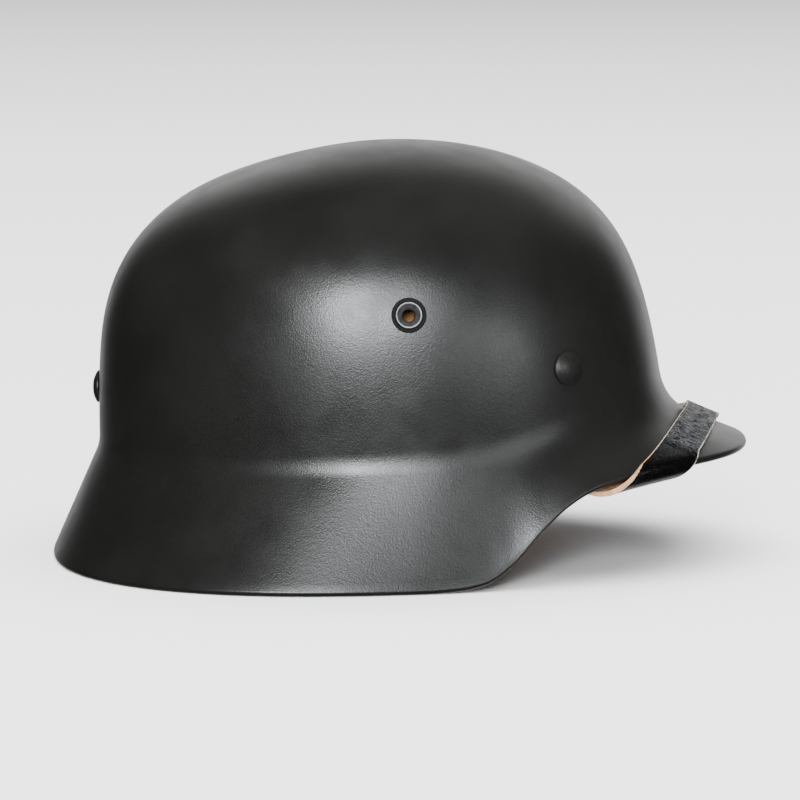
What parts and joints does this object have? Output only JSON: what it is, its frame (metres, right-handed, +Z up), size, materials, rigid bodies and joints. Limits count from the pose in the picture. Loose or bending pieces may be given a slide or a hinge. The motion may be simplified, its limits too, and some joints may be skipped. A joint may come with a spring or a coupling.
{
  "type": "steel helmet",
  "caption": "Pressed steel combat helmet with a flared skirt, short visor, rolled rim, side vent bushings, riveted leather liner and a leather chin strap laid up over the visor.",
  "frame": {"origin": "on the plane that the rim rests on, under the middle of the shell's length", "axes": "+X towards the visor, +Y towards the wearer's left, +Z up towards the crown"},
  "size_m": [0.2859, 0.2292, 0.1695],
  "materials": {
    "paint": "satin dark grey paint with a fine pebbled grain",
    "bushing": "dark grey paint, worn bright on the raised lip",
    "steel": "plain bare steel",
    "tan_leather": "undyed tan leather, matt",
    "black_leather": "black dyed leather with a waxed sheen, tan at its cut edges"
  },
  "bodies": {
    "root": {"shell": "paint", "vent_bushing_right": "bushing", "vent_bushing_left": "bushing", "liner_rivet_right": "paint", "liner_rivet_left": "paint", "liner_rivet_rear": "paint", "liner_outer_band": "steel", "liner_inner_band": "steel", "liner_spring_front": "steel", "liner_spring_side_right": "steel", "liner_spring_side_left": "steel", "liner_spring_nape_right": "steel", "liner_spring_nape_left": "steel", "liner_leather": "tan_leather", "strap_lug_right": "steel", "strap_lug_left": "steel", "strap_bail_right": "steel", "strap_bail_left": "steel", "strap": "black_leather", "buckle_strap": "black_leather", "strap_buckle": "steel"}
  },
  "joints": []
}
